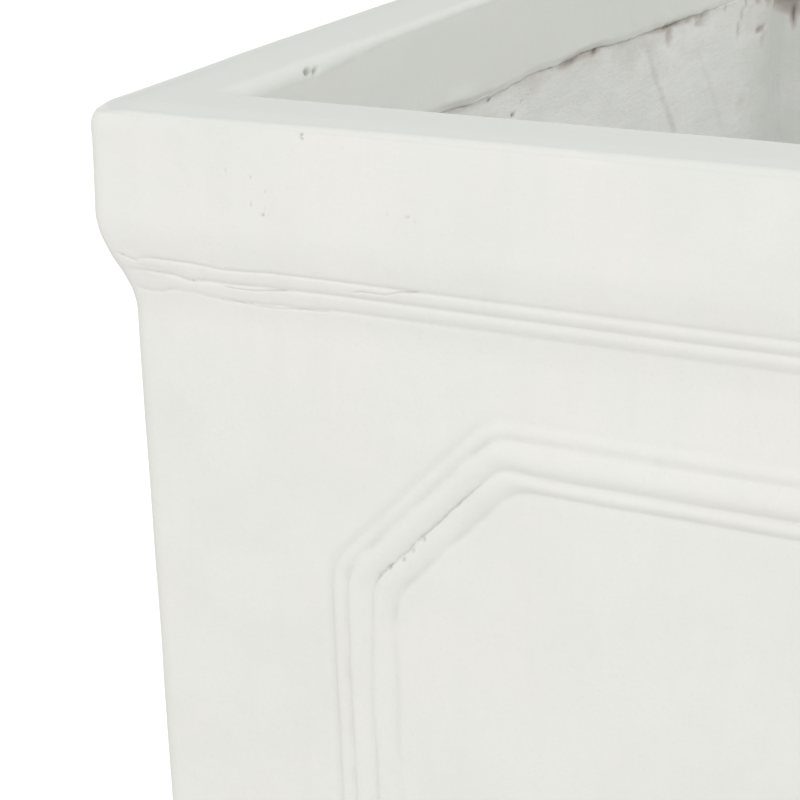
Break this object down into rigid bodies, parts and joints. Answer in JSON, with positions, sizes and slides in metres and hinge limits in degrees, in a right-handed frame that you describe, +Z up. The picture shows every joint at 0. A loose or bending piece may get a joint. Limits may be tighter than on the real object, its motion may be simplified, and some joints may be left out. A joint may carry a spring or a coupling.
{
  "type": "square planter",
  "caption": "Tapered square cast planter with a band lip, beads under the lip and a framed panel with chamfered corners on each side.",
  "frame": {"origin": "on the floor, under the middle of the planter", "axes": "+Z up, front face towards -Y, +X to the right seen from the front"},
  "size_m": [0.508, 0.508, 0.48],
  "materials": {
    "cast_face": "matte",
    "fibre_mortar": "matte",
    "plug_rubber": "matte",
    "pad_rubber": "matte"
  },
  "bodies": {
    "planter": {"face_shell": "cast_face", "rim_core": "fibre_mortar", "front_wall_backing": "fibre_mortar", "right_wall_backing": "fibre_mortar", "back_wall_backing": "fibre_mortar", "left_wall_backing": "fibre_mortar", "back_right_corner_fillet": "fibre_mortar", "back_left_corner_fillet": "fibre_mortar", "front_left_corner_fillet": "fibre_mortar", "front_right_corner_fillet": "fibre_mortar", "base_slab": "fibre_mortar", "back_right_foot_pad": "pad_rubber", "back_left_foot_pad": "pad_rubber", "front_left_foot_pad": "pad_rubber", "front_right_foot_pad": "pad_rubber"},
    "drain_plug": {"drain_plug": "plug_rubber"}
  },
  "joints": [
    {"name": "drain_plug_pull", "type": "slide", "parent": "planter", "child": "drain_plug", "axis": [0, 0, 1], "range_m": [0, 0.08]}
  ]
}
